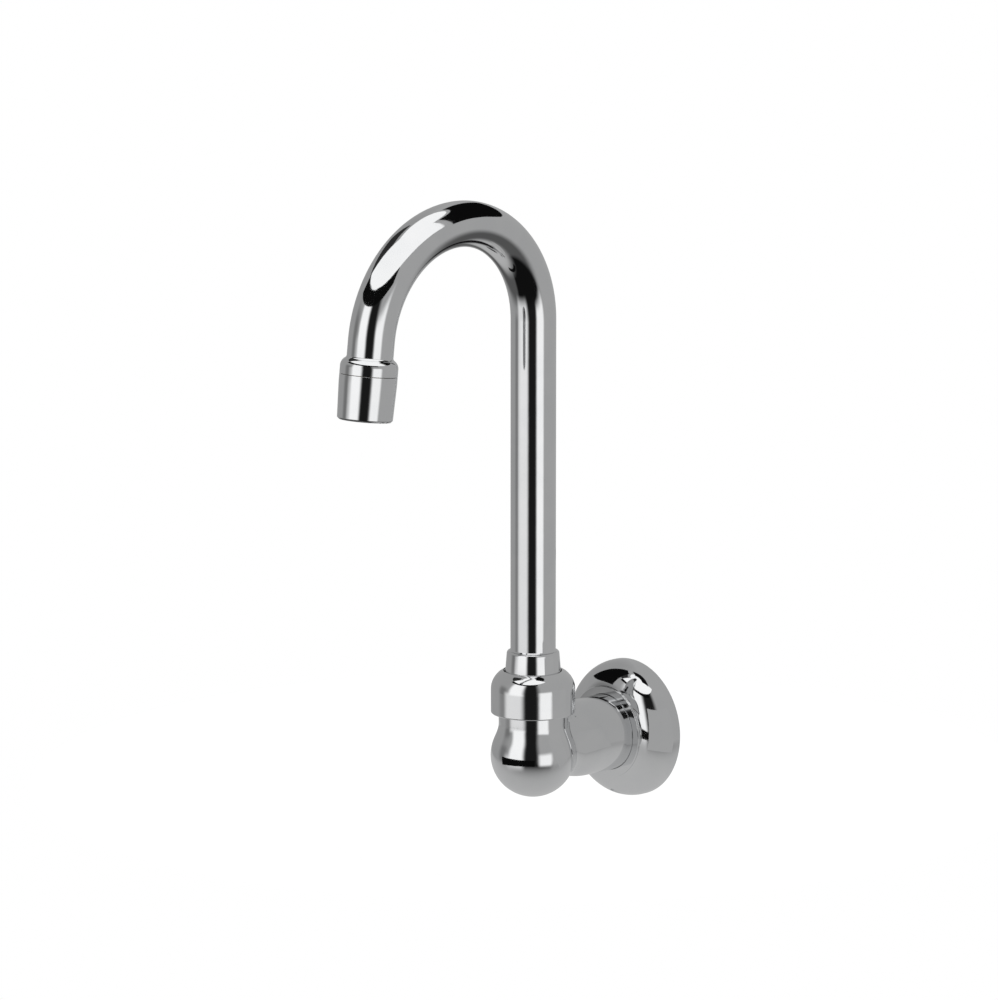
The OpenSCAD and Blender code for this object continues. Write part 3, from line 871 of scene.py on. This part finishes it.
# Where the camera stands, in degrees, and the height of the table's top, in metres
CAMERA_AZIMUTH, CAMERA_ELEVATION = 45.24, 10.54
FLOOR_Z = -0.0362


def heading(bearing, height=0.0):
    """Unit vector at a bearing from the camera's side and a height, both in degrees."""
    turn, rise = math.radians(CAMERA_AZIMUTH + bearing), math.radians(height)
    return Vector((math.sin(turn) * math.cos(rise), -math.cos(turn) * math.cos(rise), math.sin(rise)))


def make_camera():
    """Long lens, a little above the arm, at forty-five degrees to the wall."""
    aim = Vector((0.0, -0.0795, 0.1090))
    distance, lens = 2.467, 213.25
    back = heading(0, CAMERA_ELEVATION)
    data = bpy.data.cameras.new("camera")
    data.lens = lens
    data.clip_start, data.clip_end = 0.1, 50.0
    camera = bpy.data.objects.new("camera", data)
    camera.location = aim + back * distance
    camera.rotation_mode = "QUATERNION"
    camera.rotation_quaternion = (-back).to_track_quat("-Z", "Y")
    bpy.context.scene.collection.objects.link(camera)
    bpy.context.scene.camera = camera


# Panels far round the object, painted in this order: bearing from the camera's side and height of the
# centre, half width and half height, all in degrees, softness of the edge, and brightness.
PANELS = (
    ("left wall", -125, 10, 50, 60, 20, 0.36),
    ("studio floor", 0, -62, 200, 36, 10, 0.10),
    ("dark floor", -8, -54, 62, 40, 8, 0.006),
    ("camera gap", -6, 24, 21, 50, 9, 0.012),
    ("left flag", -92, 2, 12, 16, 9, 0.20),
    ("left softbox foot", -56, -16, 26, 16, 9, 0.85),
    ("left softbox", -49, 34, 20, 42, 7, 1.15),
    ("right softbox", 35, -5, 18, 15, 6, 1.10),
)
# Brightness of the room where no panel is painted
ROOM_LEVEL = 0.42

# Cards close to the object, each part of a sphere round the top of a node: its bearings and heights in
# degrees, its distance in metres, and its brightness.
CARDS = (
    ("arch_sheet", "gooseneck_tube", (-98, 74), (25, 64), 0.2, 1.15),
    ("arch_cap", "gooseneck_tube", (-180, 180), (63, 90), 0.2, 1.15),
    ("arch_beam", "gooseneck_tube", (-98, 30), (11, 24), 0.2, 0.004),
    ("arch_left_flag", "gooseneck_tube", (-142, -99), (22, 54), 0.2, 0.03),
    ("arch_right_flag", "gooseneck_tube", (78, 166), (17, 60), 0.13, 0.004),
    ("flange_flag", "wall_flange", (-128, -77), (8, 74), 0.05, 0.004),
    ("flange_sheet", "wall_flange", (-4, 62), (-45, 8), 0.07, 0.43),
    ("ball_strip", "coupling_nut", (-85, 4), (-38, -24), 0.1, 0.004),
)
# Points across and up each card
CARD_COLUMNS, CARD_ROWS = 25, 13


def glow(material, nodes, level):
    """Makes the material give light of that level and nothing else."""
    lamp = nodes.add("ShaderNodeEmission", None, Strength=level)
    nodes.tree.links.new(lamp.outputs[0], material.node_tree.nodes["Material Output"].inputs["Surface"])


def make_cards():
    """Small sheets and flags hung round the object, out of the camera's sight."""
    for name, node, bearings, heights, distance, level in CARDS:
        low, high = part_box(node)
        middle = Vector(((low.x + high.x) / 2, (low.y + high.y) / 2, high.z))
        columns, rows = np.linspace(*bearings, CARD_COLUMNS), np.linspace(*heights, CARD_ROWS)
        points = [middle + heading(b, h) * distance for h in rows for b in columns]
        faces = []
        for i in range(CARD_ROWS - 1):
            for k in range(CARD_COLUMNS - 1):
                corner = i * CARD_COLUMNS + k
                faces.append((corner, corner + 1, corner + 1 + CARD_COLUMNS, corner + CARD_COLUMNS))
        card = new_piece(name, points, faces)
        material, nodes, _ = new_material(name)
        glow(material, nodes, level)
        card.data.materials.append(material)
        card.visible_camera = False


def make_world():
    """Studio far round the object: pale walls, softboxes beside the camera and dark flags, but plain white
    to the lens."""
    world = bpy.data.worlds.new("studio")
    world.use_nodes = True
    bpy.context.scene.world = world
    tree = world.node_tree
    tree.nodes.clear()
    nodes = Nodes(tree)
    direction = nodes.add("ShaderNodeTexCoord").outputs["Generated"]
    turn = {"Vector": direction, "Angle": -math.radians(CAMERA_AZIMUTH)}
    turned = nodes.add("ShaderNodeVectorRotate", {"rotation_type": "Z_AXIS"}, **turn).outputs[0]
    parts = nodes.add("ShaderNodeSeparateXYZ", None, Vector=turned)
    right, ahead, up = parts.outputs
    towards = nodes.math("MULTIPLY", ahead, -1.0)
    bearing = nodes.math("DEGREES", nodes.math("ARCTAN2", right, towards))
    height = nodes.math("DEGREES", nodes.math("ARCSINE", up))
    colour = grey(ROOM_LEVEL)
    for _, middle_b, middle_h, half_b, half_h, soft, level in PANELS:
        across = nodes.math("ABSOLUTE", nodes.math("SUBTRACT", bearing, middle_b))
        upwards = nodes.math("ABSOLUTE", nodes.math("SUBTRACT", height, middle_h))
        inside_b = nodes.remap(across, half_b + soft, half_b - soft, 0.0, 1.0, smooth_step=True)
        inside_h = nodes.remap(upwards, half_h + soft, half_h - soft, 0.0, 1.0, smooth_step=True)
        colour = nodes.blend(nodes.math("MULTIPLY", inside_b, inside_h), colour, grey(level))
    to_lens = nodes.add("ShaderNodeLightPath").outputs["Is Camera Ray"]
    seen = nodes.blend(to_lens, colour, grey(1.0))
    background = nodes.add("ShaderNodeBackground", None, Color=seen)
    output = nodes.add("ShaderNodeOutputWorld")
    tree.links.new(background.outputs[0], output.inputs["Surface"])


def make_floor():
    """Small pale round table, set back from the camera, which burns out to white for the lens. In reflections
    it glows with a painted pool of light, brightest in the middle, and fades away before its edge."""
    radius, set_back, bright_r, whole_r = 0.22, 0.10, 0.08, 0.12
    middle_level, edge_level, lens_level = 0.52, 0.30, 0.9
    bm = bmesh.new()
    bmesh.ops.create_circle(bm, cap_ends=True, segments=192, radius=radius)
    mesh = bpy.data.meshes.new("floor")
    bm.to_mesh(mesh)
    bm.free()
    floor = bpy.data.objects.new("floor", mesh)
    floor.location = Vector((0, riser_y, FLOOR_Z)) - heading(0) * set_back
    bpy.context.scene.collection.objects.link(floor)
    material, nodes, shader = new_material("pale_table")
    length = nodes.add("ShaderNodeVectorMath", {"operation": "LENGTH"}, _0=nodes.position())
    distance = length.outputs["Value"]
    # Painted pool of light: in reflections the table glows rather than being lit, brighter in the middle.
    level = nodes.remap(distance, bright_r, radius, middle_level, edge_level, smooth_step=True)
    painted_light_pool = nodes.add("ShaderNodeEmission", None, Strength=level)
    seen = nodes.add("ShaderNodeEmission", None, Strength=lens_level)
    plug(nodes, shader, Base_Color=grey(0.32), Roughness=0.9)
    lit = nodes.add("ShaderNodeAddShader", None, _0=seen.outputs[0], _1=shader.outputs[0])
    to_lens = nodes.add("ShaderNodeLightPath").outputs["Is Camera Ray"]
    through = nodes.add("ShaderNodeBsdfTransparent").outputs[0]
    gone = nodes.remap(distance, whole_r, radius, 0.0, 1.0, smooth_step=True)
    faded = nodes.add("ShaderNodeMixShader", None, _0=gone, _1=painted_light_pool.outputs[0], _2=through)
    mix = nodes.add("ShaderNodeMixShader", None, _0=to_lens, _1=faded.outputs[0], _2=lit.outputs[0])
    nodes.tree.links.new(mix.outputs[0], material.node_tree.nodes["Material Output"].inputs["Surface"])
    mesh.materials.append(material)


make_camera()
make_world()
make_floor()
make_cards()
make_flange()
make_elbow()
make_nut()
make_ferrule()
make_tube()
make_adapter()
make_aerator_shell()
dress_cad_nodes()
bpy.context.scene.view_settings.view_transform = "Standard"
